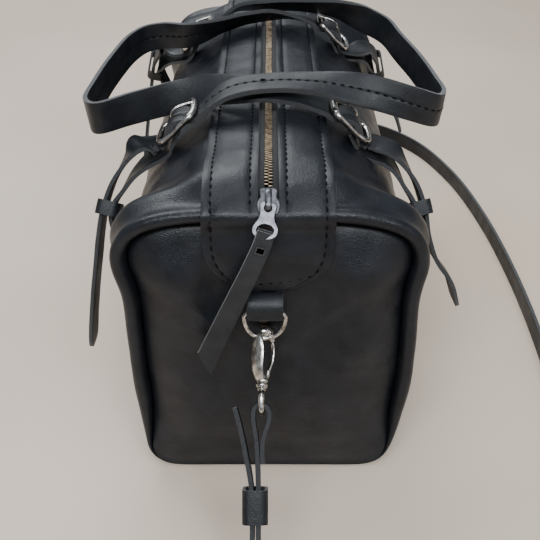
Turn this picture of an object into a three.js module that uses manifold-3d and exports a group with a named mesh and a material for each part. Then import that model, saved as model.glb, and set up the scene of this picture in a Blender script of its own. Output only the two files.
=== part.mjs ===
// A hand-made leather weekender bag, in millimetres. X runs across the bag, Y along it, Z up.
// The origin is on the table under the middle of the base. "front" is the end at -Y, where the
// zip ends and the shoulder strap is clipped on, and "left" is the side at -X.
import * as THREE from 'three';
import { mergeVertices } from 'three/addons/utils/BufferGeometryUtils.js';
import Module from 'manifold-3d';

const wasm = await Module();
wasm.setup();

// ---- driving dimensions -------------------------------------------------------------------
const GAP = 0.4; // between pieces that touch
const LEATHER = 3; // thickness of the body leather
const BODY_Y = 208.5; // half the length of the side panels
const HALF_WIDTH = 100; // of the body at its ends
const WELT = { y: 215, half: 94, bottom: 6.4, top: 238.6, corner: 23, roll: 5.8 }; // rolled edges
const TOP = { flat: 262.5, end: 246, flatTo: 160, edge: 221 }; // height of the top strip
const STRIP = { half: 43.5, thick: 2.4, crown: 6, slot: 6.8, slotEnd: 220.5, tip: 177 };
const ZIP = { tape: 0.8, tapeHalf: 15.5, chainIn: 0.2, chainOut: 3, chainThick: 2.4 };
const SLIDER = { y: -212.5, tilt: 33, long: 14, wide: 13, plate: 1.6 };
const HANDLE = { wide: 25, thick: 3.8 };
const BUCKLE = { long: 38, wide: 33, wire: 1.8, slope: 40.4 }; // the slope is in degrees
const BUCKLE_AT = { left: [-70, 101.5, 253], right: [62.5, 101.5, 254] };
const RING = { wide: 31, wire: 1.5, y: 232.8, z: 171, x: -2.5 }; // D-ring on its bar
const SHOULDER = { wide: 19, thick: 3.6 }; // the shoulder strap
const HANG = 45.4; // degrees below level at which a hook and the strap on it leave the ring
const HOOK = { turn: 42, wire: 2.1 }; // turned about its own length, in degrees

// ---- materials ----------------------------------------------------------------------------
const finish = (color, roughness, metalness) => () =>
  new THREE.MeshStandardMaterial({ color, roughness, metalness });
const leather = finish('#17181c', 0.5, 0);
const edgeLeather = finish('#1d1c1e', 0.75, 0);
const board = finish('#3a332c', 0.9, 0);
const tape = finish('#101012', 0.95, 0);
const brass = finish('#8d7757', 0.4, 1);
const gunmetal = finish('#77787c', 0.35, 1);
const nickel = finish('#b9b7b4', 0.3, 1);

// ---- geometry helpers ---------------------------------------------------------------------
const V = (x, y, z) => new THREE.Vector3(x, y, z);
const lerp = THREE.MathUtils.lerp;
const rad = THREE.MathUtils.degToRad;
const vectors = (rows) => rows.map(([x, y, z]) => V(x, y, z));

function volume(points, triangles) {
  let sum = 0;
  for (const [a, b, c] of triangles) sum += points[a].dot(points[b].clone().cross(points[c]));
  return sum / 6;
}

function solid(points, triangles) {
  const out = volume(points, triangles) < 0 ? triangles.map(([a, b, c]) => [a, c, b]) : triangles;
  const geometry = new THREE.BufferGeometry();
  geometry.setAttribute('position', new THREE.Float32BufferAttribute(
    points.flatMap((p) => [p.x, p.y, p.z]), 3));
  geometry.setIndex(out.flat());
  return geometry;
}

function cap(loop) {
  const normal = V(0, 0, 0);
  loop.forEach((p, i) => normal.add(p.clone().cross(loop[(i + 1) % loop.length])));
  normal.normalize();
  const across = loop[1].clone().sub(loop[0]).normalize();
  const up = normal.clone().cross(across);
  const flat = loop.map((p) => new THREE.Vector2(p.dot(across), p.dot(up)));
  return THREE.ShapeUtils.triangulateShape(flat, []);
}

// A skin over loops of equally many points, with flat ends or joined into a ring.
function loft(loops, ring = false) {
  const n = loops[0].length;
  const points = loops.flat();
  const triangles = [];
  const rows = ring ? loops.length : loops.length - 1;
  for (let i = 0; i < rows; i++) {
    const here = i * n;
    const next = ((i + 1) % loops.length) * n;
    for (let j = 0; j < n; j++) {
      const k = (j + 1) % n;
      triangles.push([here + j, here + k, next + k], [here + j, next + k, next + j]);
    }
  }
  if (!ring) {
    const last = (loops.length - 1) * n;
    for (const [a, b, c] of cap(loops[0])) triangles.push([c, b, a]);
    for (const [a, b, c] of cap(loops[loops.length - 1])) {
      triangles.push([last + a, last + b, last + c]);
    }
  }
  return solid(points, triangles);
}

// A flat strap along a smooth route. Each route row is a place and, in facing, the direction of
// the strap's width there.
function strap(route, facing, wide, thick, steps) {
  const path = new THREE.CatmullRomCurve3(vectors(route), false, 'centripetal');
  const turn = new THREE.CatmullRomCurve3(vectors(facing), false, 'centripetal');
  const corners = [[0.5, -0.5], [0.5, 0.5], [-0.5, 0.5], [-0.5, -0.5]];
  const loops = [];
  for (let i = 0; i <= steps; i++) {
    const centre = path.getPoint(i / steps);
    const along = path.getTangent(i / steps);
    const across = turn.getPoint(i / steps);
    across.addScaledVector(along, -across.dot(along)).normalize();
    const normal = along.clone().cross(across);
    loops.push(corners.map(([w, t]) => centre.clone().addScaledVector(across, w * wide)
      .addScaledVector(normal, t * thick)));
  }
  return loft(loops);
}

// A round wire along a smooth route, open or closed.
function wire(points, radius, steps, closed = false, sides = 6) {
  const path = new THREE.CatmullRomCurve3(points, closed, 'centripetal');
  const frames = path.computeFrenetFrames(steps, closed);
  const loops = [];
  for (let i = 0; i < (closed ? steps : steps + 1); i++) {
    const centre = path.getPointAt(i / steps);
    loops.push(Array.from({ length: sides }, (_, k) => {
      const a = (k / sides) * 2 * Math.PI;
      return centre.clone().addScaledVector(frames.normals[i], radius * Math.cos(a))
        .addScaledVector(frames.binormals[i], radius * Math.sin(a));
    }));
  }
  return loft(loops, closed);
}

// Points round a rectangle with round corners, centred on the origin, as [x, y] rows.
function roundedRectangle(halfX, halfY, radius, perCorner = 4, perSide = 1) {
  const rows = [];
  const corners = [[1, 1, 0], [-1, 1, 90], [-1, -1, 180], [1, -1, 270]];
  corners.forEach(([sx, sy, from], c) => {
    for (let i = 0; i <= perCorner; i++) {
      const a = rad(from + (90 * i) / perCorner);
      rows.push([sx * (halfX - radius) + radius * Math.cos(a),
        sy * (halfY - radius) + radius * Math.sin(a)]);
    }
    const [nx, ny, next] = corners[(c + 1) % 4];
    const b = rad(next);
    const to = [nx * (halfX - radius) + radius * Math.cos(b),
      ny * (halfY - radius) + radius * Math.sin(b)];
    const start = rows[rows.length - 1];
    for (let i = 1; i < perSide; i++) {
      rows.push([lerp(start[0], to[0], i / perSide), lerp(start[1], to[1], i / perSide)]);
    }
  });
  return rows;
}

function manifold(geometry) {
  const bare = geometry.clone();
  bare.deleteAttribute('normal');
  bare.deleteAttribute('uv');
  const merged = mergeVertices(bare, 1e-4);
  return new wasm.Manifold(new wasm.Mesh({
    numProp: 3,
    vertProperties: new Float32Array(merged.attributes.position.array),
    triVerts: new Uint32Array(merged.index.array),
  }));
}

function geometryOf(made) {
  const mesh = made.getMesh();
  const geometry = new THREE.BufferGeometry();
  geometry.setAttribute('position', new THREE.Float32BufferAttribute(mesh.vertProperties, 3));
  geometry.setIndex([...mesh.triVerts]);
  return geometry;
}

const join = (...parts) => geometryOf(parts.map(manifold).reduce((a, b) => a.add(b)));
const cut = (body, ...tools) =>
  geometryOf(tools.map(manifold).reduce((a, b) => a.subtract(b), manifold(body)));

const bag = new THREE.Group();

function add(name, geometry, material, parent = bag) {
  const mesh = new THREE.Mesh(geometry, material());
  mesh.name = name;
  parent.add(mesh);
  return mesh;
}

// ---- the body -----------------------------------------------------------------------------

// Height of the top strip's upper face along the bag: level, and falling over each end.
function topHeight(y) {
  const past = Math.max(0, Math.abs(y) - TOP.flatTo) / (TOP.edge - TOP.flatTo);
  return TOP.flat - (TOP.flat - TOP.end) * past ** 2.5;
}

// How far the top sags between its corners: 0 at an end panel, 1 over the soft middle.
const softness = (y) => THREE.MathUtils.smoothstep(BODY_Y - Math.abs(y), 0, 55);

// The outside of the right half in section at y, from the base seam up to the zip, as [x, z].
function sideOutline(y) {
  const middle = 1 - (y / BODY_Y) ** 2;
  const soft = softness(y);
  const w = HALF_WIDTH + 3 * middle;
  const zip = topHeight(y) - 4;
  const z = (atEnd, inMiddle) => lerp(atEnd, inMiddle, soft);
  return [[72.6, 0.2], [84, 3], [93, 9.5], [98.5, 19], [w, 34], [w + 2.5, 100], [w + 2, 160],
    [w, z(207, 186)], [w - 3.5, z(223, 201)], [w - 11, z(236, 213.5)], [w - 22, z(242, 223)],
    [62, z(245, 233.5)], [40, z(zip - 0.4, 250)], [16.5, zip]];
}

function sidePanel(side) {
  const loops = [];
  const stations = 16;
  for (let i = 0; i <= stations; i++) {
    const y = -BODY_Y + (2 * BODY_Y * i) / stations;
    const outer = sideOutline(y);
    const inner = outer.map(([x, z], k) => {
      const a = outer[Math.max(0, k - 1)];
      const b = outer[Math.min(outer.length - 1, k + 1)];
      const long = Math.hypot(b[0] - a[0], b[1] - a[1]);
      return [x - (LEATHER * (b[1] - a[1])) / long, z + (LEATHER * (b[0] - a[0])) / long];
    });
    loops.push([...outer, ...inner.reverse()].map(([x, z]) => V(side * x, y, z)));
  }
  return loft(loops);
}

function slab(halfX, halfY, radius, bottom, thick) {
  const shape = new THREE.Shape(roundedRectangle(halfX, halfY, radius)
    .map(([x, y]) => new THREE.Vector2(x, y)));
  return new THREE.ExtrudeGeometry(shape, { depth: thick, bevelEnabled: false })
    .translate(0, 0, bottom);
}

// The rolled edge where an end panel meets the sides, top and base: a closed roll, flattened
// where the zip passes over it.
function welt(end) {
  const halfZ = (WELT.top - WELT.bottom) / 2;
  const middle = (WELT.top + WELT.bottom) / 2;
  const path = roundedRectangle(WELT.half, halfZ, WELT.corner, 4, 2);
  const loops = path.map(([x, z], i) => {
    const [ax, az] = path[(i + path.length - 1) % path.length];
    const [bx, bz] = path[(i + 1) % path.length];
    const along = V(bx - ax, 0, bz - az).normalize();
    const out = V(along.z, 0, -along.x);
    return Array.from({ length: 8 }, (_, k) => {
      const a = ((k + 0.5) / 8) * 2 * Math.PI;
      const r = WELT.roll / Math.cos(Math.PI / 8);
      return V(x, end * WELT.y, z + middle).addScaledVector(out, r * Math.cos(a))
        .add(V(0, r * Math.sin(a), 0));
    });
  });
  const notch = new THREE.BoxGeometry(36, 20, 20).translate(0, end * WELT.y, WELT.top + 7);
  return cut(loft(loops, true), notch);
}

// An end panel: a sheet with rounded corners that puffs outwards, set inside its rolled edge.
function endPanel(end) {
  const halfX = WELT.half - WELT.roll - GAP;
  const halfZ = (WELT.top - WELT.bottom) / 2 - WELT.roll - GAP;
  const middle = (WELT.top + WELT.bottom) / 2;
  const flat = WELT.y - 1;
  const puff = 11;
  const shares = [0.2, 0.56, 0.82, 1];
  const ringAt = (share, back) => roundedRectangle(halfX * share, halfZ * share, 17 * share, 3, 2)
    .map(([x, z]) => V(x, end * (flat + puff * (1 - share * share) - back), z + middle));
  const loops = [...shares.map((s) => ringAt(s, 0)), ...shares.map((s) => ringAt(s, LEATHER))
    .reverse()];
  return loft(loops);
}

// The top strip runs over the zip and down both end panels, where it ends in a rounded tongue.
function stripRoute() {
  const rows = [];
  const drop = [[226.6, STRIP.tip], [226.8, 190], [226.3, 205], [225.2, 220], [224, 232],
    [223.6, 239], [222.3, 243.6]];
  const halfThick = STRIP.thick / 2;
  for (const [y, z] of drop) rows.push([-y, z]);
  for (let y = -219.5; y <= 219.6; y += 219.5 / 10) rows.push([y, topHeight(y) - halfThick]);
  for (const [y, z] of [...drop].reverse()) rows.push([y, z]);
  return rows;
}

function topStrip() {
  const route = stripRoute();
  const loops = route.map(([y, z], i) => {
    const [ay, az] = route[Math.max(0, i - 1)];
    const [by, bz] = route[Math.min(route.length - 1, i + 1)];
    const out = V(0, -(bz - az), by - ay).normalize();
    const fromTip = Math.max(0, z - STRIP.tip);
    const round = Math.min(1, (fromTip + 1.5) / 36);
    const half = STRIP.half * Math.sqrt(1 - (1 - round) ** 2 * 0.93);
    const level = softness(Math.min(BODY_Y, Math.abs(y)));
    const across = [-1, -0.5, 0, 0.5, 1];
    const face = (lift) => across.map((a) => V(a * half, y, z - STRIP.crown * level * a * a)
      .addScaledVector(out, lift));
    return [...face(STRIP.thick / 2), ...face(-STRIP.thick / 2).reverse()];
  });
  const slot = new THREE.BoxGeometry(2 * STRIP.slot, 2 * STRIP.slotEnd, 60).translate(0, 0, 262);
  return cut(loft(loops), slot);
}

// A strip that follows the top from one end to the other, below its upper face.
function alongTop(fromX, toX, below, thick, reach) {
  const loops = [];
  for (let i = 0; i <= 20; i++) {
    const y = -reach + (2 * reach * i) / 20;
    const z = topHeight(y) - below;
    loops.push([V(fromX, y, z - thick), V(toX, y, z - thick), V(toX, y, z), V(fromX, y, z)]);
  }
  return loft(loops);
}

add('base_panel', slab(71, 208, 20, 0, LEATHER), leather);
add('base_board', slab(68, 204, 18, LEATHER + GAP, 2.5), board);
for (const [name, side] of [['left', -1], ['right', 1]]) {
  add(`side_panel_${name}`, sidePanel(side), leather);
  const tapeIn = ZIP.chainOut + GAP;
  const ends = [side * tapeIn, side * ZIP.tapeHalf].sort((a, b) => a - b);
  add(`zip_tape_${name}`, alongTop(...ends, STRIP.thick + 1.5, ZIP.tape, 203), tape);
  const chain = [side * ZIP.chainIn, side * ZIP.chainOut].sort((a, b) => a - b);
  add(`zip_chain_${name}`, alongTop(...chain, 1.8, ZIP.chainThick, 203), brass);
}
for (const [name, end] of [['front', -1], ['rear', 1]]) {
  add(`end_panel_${name}`, endPanel(end), leather);
  add(`welt_${name}`, welt(end), leather);
}
add('top_strip', topStrip(), leather);

// ---- the zip slider, its puller and the leather pull ---------------------------------------
// Built level at the origin with the closed end of the zip towards -Y, then set on the slope.
function zipSlider() {
  const { long, wide, plate } = SLIDER;
  const outline = new THREE.Shape([[-wide / 2, -long / 2 + 2], [-wide / 2 + 2, -long / 2],
    [wide / 2 - 2, -long / 2], [wide / 2, -long / 2 + 2], [4.8, long / 2], [-4.8, long / 2]]
    .map(([x, y]) => new THREE.Vector2(x, y)));
  const sheet = (z) => new THREE.ExtrudeGeometry(outline, { depth: plate, bevelEnabled: false })
    .translate(0, 0, z);
  const post = new THREE.BoxGeometry(2.4, 2.6, 8).translate(0, -long / 2 + 1.8, 0);
  const bridge = wire([V(0, -5, 2.4), V(0, -4.8, 6), V(0, -1.5, 8.4), V(0, 2.5, 7.6),
    V(0, 5, 2.4)], 1.1, 10);
  return join(sheet(2), sheet(-2 - plate), post, bridge);
}

// The puller hangs from the bridge: a slotted top, a flat waist and an open ring.
function zipPuller() {
  const plate = new THREE.Shape([[-3.4, -9], [3.4, -9], [4, 1.5], [-4, 1.5]]
    .map(([x, y]) => new THREE.Vector2(x, y)));
  const eye = new THREE.Path(roundedRectangle(2.2, 2.7, 1.2).map(([x, y]) =>
    new THREE.Vector2(x, y - 2.2)).reverse());
  plate.holes.push(eye);
  const top = new THREE.ExtrudeGeometry(plate, { depth: 1.6, bevelEnabled: false })
    .translate(0, 0, -0.8);
  const ring = wire(roundedRectangle(6.8, 5.4, 5, 4).map(([x, y]) => V(x, y - 15.6, 0)), 1.05,
    24, true);
  const waist = new THREE.BoxGeometry(5.4, 5, 1.6).translate(0, -9.6, 0);
  return join(top, waist, ring);
}

const slider = new THREE.Group();
slider.position.set(0, SLIDER.y, topHeight(SLIDER.y) - 2.4);
slider.rotation.x = rad(SLIDER.tilt);
bag.add(slider);
add('zip_slider', zipSlider(), gunmetal, slider);
const pullerHang = new THREE.Group();
pullerHang.position.set(0, -2, 6);
pullerHang.rotation.set(rad(13), 0, rad(-8));
slider.add(pullerHang);
add('zip_puller', zipPuller(), gunmetal, pullerHang);
const PULL = [[-4, -236.5, 229], [-11, -239, 214], [-24, -240.5, 188], [-37, -241.5, 161],
  [-49, -242, 135.5]];
add('pull_tab', strap(PULL, PULL.map(() => [0.9, 0.05, -0.42]), 14.5, 2.6, 14), leather);

// ---- the carrying handles, their buckles, anchor straps and keepers ------------------------
const SIDES = { left: -1, right: 1 };
const ENDS = { front: -1, rear: 1 };
const slope = rad(BUCKLE.slope);

// A place in a buckle's own frame: u towards the bag's centre line, v along the bag, n outwards.
function atBuckle(side, end) {
  const s = SIDES[side];
  const [x, y, z] = BUCKLE_AT[side];
  const u = V(-s * Math.cos(slope), 0, Math.sin(slope));
  const n = V(s * Math.sin(slope), 0, Math.cos(slope));
  return (du, dv, dn) => V(x, ENDS[end] * y, z).addScaledVector(u, du).add(V(0, dv, 0))
    .addScaledVector(n, dn);
}

function buckle(side, end) {
  const place = atBuckle(side, end);
  const outline = roundedRectangle(BUCKLE.long / 2 - BUCKLE.wire, BUCKLE.wide / 2 - BUCKLE.wire,
    5, 3);
  const frame = wire(outline.map(([u, v]) => place(u, v, 0)), BUCKLE.wire, 26, true);
  const reach = BUCKLE.wide / 2 - BUCKLE.wire;
  const bar = wire([place(-2, -reach, -0.4), place(-2, 0, -1.6), place(-2, reach, -0.4)], 1.3, 6);
  return join(frame, bar);
}

function prong(side, end) {
  const place = atBuckle(side, end);
  const route = [[0.5, 7], [4, 8.2], [9, 6], [13.5, 4.6], [18.8, 3.6]];
  return wire(route.map(([u, n]) => place(u, 0, n)), 1.2, 10);
}

// A handle's route on its loop, between its two buckles. The width turns from lying flat in the
// buckles to standing on edge round the loop.
const LOOPS = {
  left: [[-30, -99, 277.5, 0, 0.9, 0.4], [0, -95, 281.5, 0, 0.83, 0.56],
    [35, -95, 281, 0, 0.8, 0.6], [75, -100, 276.5, 0, 0.6, 0.8], [108, -103, 268, 0, 0.2, 1],
    [126, -98, 261, 0, 0, 1], [134, -80, 257, 0.1, 0, 1], [134, -45, 255, 0.1, 0, 1],
    [129, 5, 255, 0.1, 0, 1], [119, 55, 257, 0.1, 0, 1], [111, 88, 260, 0.1, 0, 1],
    [96, 104, 264, 0, 0, 1], [70, 103, 275, 0, -0.6, 0.8], [35, 97, 281, 0, -0.8, 0.6],
    [0, 95, 281.5, 0, -0.83, 0.56], [-30, 99, 277.5, 0, -0.9, 0.4]],
  right: [[24, -96, 270.5, 0, 0.92, 0.3], [0, -91.5, 273.5, 0, 0.83, 0.56],
    [-22, -86, 272, 0, 0.8, 0.6], [-46, -76.5, 268, 0, 0.7, 0.7], [-76, -73, 260, 0, 0.3, 1],
    [-106, -86, 257, 0, 0.1, 1], [-130, -99, 255, 0, 0, 1], [-140, -84, 252, -0.1, 0, 1],
    [-141, -40, 251, -0.1, 0, 1], [-136, 20, 251, -0.1, 0, 1], [-127, 64, 253, -0.1, 0, 1],
    [-116, 80, 255, 0, 0, 1], [-100, 83, 257, 0, -0.1, 1], [-76, 75, 260, 0, -0.3, 1],
    [-46, 76.5, 268, 0, -0.7, 0.7], [-22, 86, 272, 0, -0.8, 0.6],
    [0, 91.5, 273.5, 0, -0.83, 0.56], [24, 96, 270.5, 0, -0.92, 0.3]],
};

function handle(side) {
  const route = [];
  const facing = [];
  const inBuckle = [[-20, -4.8], [-15.5, -4.5], [-8.5, 0.4], [-2, 3.2], [4, 2.6], [9.5, -0.6],
    [15.5, -4.6], [20.5, -4.8]];
  const through = (end, rows, v) => rows.forEach(([u, n]) => {
    route.push(atBuckle(side, end)(u, 0, n).toArray());
    facing.push([0, v, 0]);
  });
  through('front', inBuckle, 1);
  for (const [x, y, z, ...across] of LOOPS[side]) {
    route.push([x, y, z]);
    facing.push(across);
  }
  through('rear', [...inBuckle].reverse(), -1);
  return strap(route, facing, HANDLE.wide, HANDLE.thick, 93);
}

// The anchor strap climbs from the side panel over the shoulder to its buckle, and the free end
// of the handle comes back down over it, through a keeper, and hangs.
const SHOULDERS = {
  left: {
    anchor: [[-94, 113, 224], [-108, 132, 214], [-116.5, 146, 203], [-114, 152, 187],
      [-108, 154, 168], [-107, 154, 140]],
    tail: [[-100.5, 114, 236.5], [-115, 132, 221.5], [-122.5, 146, 205], [-126.5, 153, 188],
      [-134, 157, 150], [-141, 160, 112], [-145, 160, 84]],
    keeper: [-119.3, 146.5, 203.5],
  },
  right: {
    anchor: [[90.5, 114, 225.5], [102.5, 132, 214], [109.5, 146, 203], [109.5, 152, 187],
      [108, 154, 168], [107, 154, 140]],
    tail: [[96, 115, 233], [109, 132, 220], [115.5, 146, 205], [119, 152, 188],
      [128, 155, 165], [141, 157, 146], [149, 157, 124]],
    keeper: [112.6, 146.5, 203.5],
  },
};

function anchorStrap(side, end) {
  const e = ENDS[end];
  const route = [[-4, -6], [-11, -8.8], [-19, -11.6]].map(([u, n]) =>
    atBuckle(side, end)(u, 0, n).toArray());
  route.push(...SHOULDERS[side].anchor.map(([x, y, z]) => [x, e * y, z]));
  return strap(route, route.map((_, i) => [0, 1, i < 4 ? 0 : 0.25 * e]), 24, 3, 18);
}

function strapTail(side, end) {
  const e = ENDS[end];
  const route = [atBuckle(side, end)(-28.6, 0, 0.4).toArray()];
  route.push(...SHOULDERS[side].tail.map(([x, y, z]) => [x, e * y, z]));
  return strap(route, route.map((_, i) => [0, 1, i < 2 ? 0 : 0.25 * e]), 24, 3, 18);
}

// A leather loop round two straps: a band that closes on itself, its width along the straps.
function bandLoop(centre, along, across, halfAcross, halfNormal, wide, thick) {
  const normal = along.clone().cross(across).normalize();
  const at = (a, n, l) => centre.clone().addScaledVector(across, a).addScaledVector(normal, n)
    .addScaledVector(along, l);
  const inner = roundedRectangle(halfAcross, halfNormal, 2, 2);
  const outer = roundedRectangle(halfAcross + thick, halfNormal + thick, 2 + thick, 2);
  return loft(inner.map(([a, n], i) => [at(a, n, -wide / 2), at(...outer[i], -wide / 2),
    at(...outer[i], wide / 2), at(a, n, wide / 2)]), true);
}

function keeperLoop(side, end) {
  const e = ENDS[end];
  const { keeper, anchor, tail } = SHOULDERS[side];
  const at = (rows, k) => V(rows[k][0], e * rows[k][1], rows[k][2]);
  const along = at(anchor, 3).sub(at(anchor, 1)).add(at(tail, 3)).sub(at(tail, 1)).normalize();
  const across = V(0, 1, 0.25 * e);
  across.addScaledVector(along, -across.dot(along)).normalize();
  return bandLoop(V(keeper[0], e * keeper[1], keeper[2]), along, across, 14.5, 8.4, 11, 2.2);
}

for (const side of Object.keys(SIDES)) {
  add(`handle_strap_${side}`, handle(side), leather);
  for (const end of Object.keys(ENDS)) {
    const name = `${end}_${side}`;
    add(`buckle_${name}`, buckle(side, end), nickel);
    add(`prong_${name}`, prong(side, end), nickel);
    add(`anchor_strap_${name}`, anchorStrap(side, end), leather);
    add(`handle_tail_${name}`, strapTail(side, end), edgeLeather);
    add(`keeper_${name}`, keeperLoop(side, end), leather);
  }
}

// ---- D-rings, their tabs, the snap hooks and the shoulder strap -----------------------------
// The frame of a hook: s runs out and down along the hook, a across it and c square to both.
const hang = rad(HANG);
const turn = rad(HOOK.turn);
const RING_LOW = { y: 235.6, z: 151.5 }; // where the hook sits on the ring's arc

function alongHang(end, x = RING.x) {
  const e = ENDS[end];
  const out = V(0, e * Math.cos(hang), -Math.sin(hang));
  const front = V(0, e * Math.sin(hang), Math.cos(hang));
  const origin = V(x, e * RING_LOW.y, RING_LOW.z);
  return (s, right, forward) => origin.clone().addScaledVector(out, s).add(V(right, 0, 0))
    .addScaledVector(front, forward);
}

function atHook(end) {
  const place = alongHang(end);
  const lean = -0.05; // the hook leans a little to the left
  return (s, a, c = 0) => place(s, lean * s + a * Math.cos(turn) + c * Math.sin(turn),
    -a * Math.sin(turn) + c * Math.cos(turn));
}

// A leather tab folded over the ring's bar and sewn under the tongue of the top strip.
function ringTab(end) {
  const e = ENDS[end];
  const rows = [[229.8, 176.5], [233.4, 176.8], [236.2, 174], [236.6, 169.5], [234, 165.6],
    [229.6, 165], [229.6, 162.4], [236, 162.6], [239.4, 168], [238.8, 175.6], [234.6, 179.6],
    [229.8, 179.4]];
  return loft([-11.8, 11.8].map((x) => rows.map(([y, z]) => V(RING.x + x, e * y, z))));
}

function tabRivet(end) {
  const e = ENDS[end];
  return new THREE.CylinderGeometry(2.6, 2.6, 1.2, 16)
    .translate(RING.x - 1.5, e * 228.9, 159.3);
}

function dRing(end) {
  const e = ENDS[end];
  const half = RING.wide / 2 - RING.wire;
  const rows = [[-half + 2, 0], [0, 0], [half - 2, 0], [half, -2.2], [half - 0.3, -8],
    [half * 0.72, -15], [half * 0.38, -18.6], [0, -20], [-half * 0.38, -18.6],
    [-half * 0.72, -15], [-half + 0.3, -8], [-half, -2.2]];
  const lean = (RING_LOW.y - RING.y) / 20;
  return wire(rows.map(([x, z]) => V(RING.x + x, e * (RING.y - lean * z), RING.z + z)),
    RING.wire, 30, true);
}

// The hook's frame: a collar, one broad side and a nose that closes over the ring.
function hookBody(end) {
  const at = atHook(end);
  const frame = wire([at(38, 0), at(34, -4.6), at(26, -7), at(10, -7.2), at(2, -7.2), at(-3.4, -5),
    at(-5.6, 0), at(-3.6, 5.6), at(2.6, 7.4)], HOOK.wire, 20);
  const knob = new THREE.SphereGeometry(3.1, 10, 7).translate(...at(-5.2, 1.8).toArray());
  const collar = wire([at(35, 0), at(43.5, 0)], 4, 2, false, 12);
  return join(frame, knob, collar);
}

function hookGate(end) {
  const at = atHook(end);
  return wire([at(5.2, 7.2), at(16, 7), at(29.6, 5.6)], 1.3, 8);
}

// The swivel eye: a round stem in the collar's mouth and a rectangular loop for the strap.
function hookEye(end) {
  const at = atHook(end);
  const place = alongHang(end, RING.x - 2.3);
  const loop = wire(roundedRectangle(6.2, 12, 3, 3).map(([s, c]) => place(53.4 + s, 0, c)), 1.5,
    28, true);
  const stem = wire([at(44, 0), at(48, 0)], 2.6, 2, false, 10);
  return join(loop, stem);
}

// The strap's end: it passes through the eye, folds back on itself and is sewn.
function strapChape(end) {
  const place = alongHang(end, RING.x);
  const rows = [[83, 0.6], [74, 1.6], [62, 3], [56.6, 1.6], [54.4, -2.3], [56.6, -6.4],
    [63, -8], [76, -6.2], [92, -4.4], [118, -4.2], [146, -4.2]];
  const front = place(0, 0, 1).sub(place(0, 0, 0));
  return strap(rows.map(([s, x]) => place(s, x, 0).toArray()), rows.map(() => front.toArray()),
    SHOULDER.wide, 2.8, 26);
}

function strapKeeper(end) {
  const place = alongHang(end, RING.x);
  const along = place(1, 0, 0).sub(place(0, 0, 0));
  return bandLoop(place(112, -6.4, 0), along, V(1, 0, 0), 6.6, 10.4, 22, 2);
}

// The free end of the adjustable part, which comes back up through the keeper.
function strapFreeEnd(end) {
  const place = alongHang(end, RING.x);
  const rows = [[146, -9.2], [120, -9.2], [98, -9.6], [84, -12], [70, -16], [58, -20]];
  const front = place(0, 0, 1).sub(place(0, 0, 0));
  return strap(rows.map(([s, x]) => place(s, x, 0).toArray()), rows.map(() => front.toArray()),
    17, 2.6, 18);
}

function strapBuckle(end) {
  const place = alongHang(end, RING.x);
  const outline = roundedRectangle(10, 12, 3, 3);
  const frame = wire(outline.map(([s, c]) => place(160 + s, -6.6, c)), 1.6, 28, true);
  const bar = wire([place(160, -6.6, -12), place(160, -6.6, 12)], 1.3, 2);
  return join(frame, bar);
}

for (const end of Object.keys(ENDS)) {
  add(`ring_tab_${end}`, ringTab(end), leather);
  add(`tab_rivet_${end}`, tabRivet(end), brass);
  add(`d_ring_${end}`, dRing(end), nickel);
  add(`hook_body_${end}`, hookBody(end), nickel);
  add(`hook_gate_${end}`, hookGate(end), nickel);
  add(`hook_eye_${end}`, hookEye(end), nickel);
  add(`strap_end_${end}`, strapChape(end), leather);
}
add('strap_keeper', strapKeeper('front'), leather);
add('strap_free_end', strapFreeEnd('front'), edgeLeather);
add('strap_buckle', strapBuckle('front'), nickel);

// The rest of the strap lies on its edge on the table, round the right side to the rear ring.
const STRAP_RUN = [[-8, -360.5, 27], [-7, -382, 14], [0, -410, 10.2], [22, -438, 10.2],
  [66, -450, 10.2], [120, -438, 10.2], [176, -398, 10.2], [222, -328, 10.2],
  [250, -230, 10.2], [262, -110, 10.2], [266, 20, 10.2], [259, 150, 10.2],
  [240, 258, 10.2], [204, 346, 10.2], [150, 400, 10.2], [90, 416, 10.2], [36, 404, 12],
  [6, 372, 22], [-6.6, 341, 44.6]];
const STRAP_FACING = STRAP_RUN.map((_, i) => (i < 2 ? [0, -0.6, 0.8]
  : i > STRAP_RUN.length - 3 ? [0, 0.6, 0.8] : [0, 0, 1]));
add('shoulder_strap', strap(STRAP_RUN, STRAP_FACING, SHOULDER.wide, SHOULDER.thick, 62), leather);

export default bag;
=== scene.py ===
"""A black leather weekender bag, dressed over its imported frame.

Lengths are in millimetres until a mesh is made. X runs across the bag, Y along it, Z up.
"""

import math

import bpy
import numpy as np
from mathutils import Matrix, Vector, noise


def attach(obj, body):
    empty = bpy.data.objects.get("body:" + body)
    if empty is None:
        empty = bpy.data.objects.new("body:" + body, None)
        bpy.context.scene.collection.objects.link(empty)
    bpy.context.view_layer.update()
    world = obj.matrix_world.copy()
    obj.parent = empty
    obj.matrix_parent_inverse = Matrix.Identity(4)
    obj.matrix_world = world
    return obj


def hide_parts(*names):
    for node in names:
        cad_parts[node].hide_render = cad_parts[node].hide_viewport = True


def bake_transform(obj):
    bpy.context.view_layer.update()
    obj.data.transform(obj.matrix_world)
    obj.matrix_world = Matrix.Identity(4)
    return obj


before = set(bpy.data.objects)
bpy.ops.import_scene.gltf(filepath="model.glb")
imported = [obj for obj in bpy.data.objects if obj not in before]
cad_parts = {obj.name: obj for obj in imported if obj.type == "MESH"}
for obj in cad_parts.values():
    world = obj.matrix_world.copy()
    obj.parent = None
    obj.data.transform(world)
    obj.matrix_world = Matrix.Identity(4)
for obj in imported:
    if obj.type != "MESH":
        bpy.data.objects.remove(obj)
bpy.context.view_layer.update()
MM = 0.001
SIDES = {"left": -1, "right": 1}
ENDS = {"front": -1, "rear": 1}

# ---- camera, light and floor ----------------------------------------------------------------
CAMERA_AT = (0.001, -0.629, 0.497)
CAMERA_PITCH = 36  # degrees below level


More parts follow.
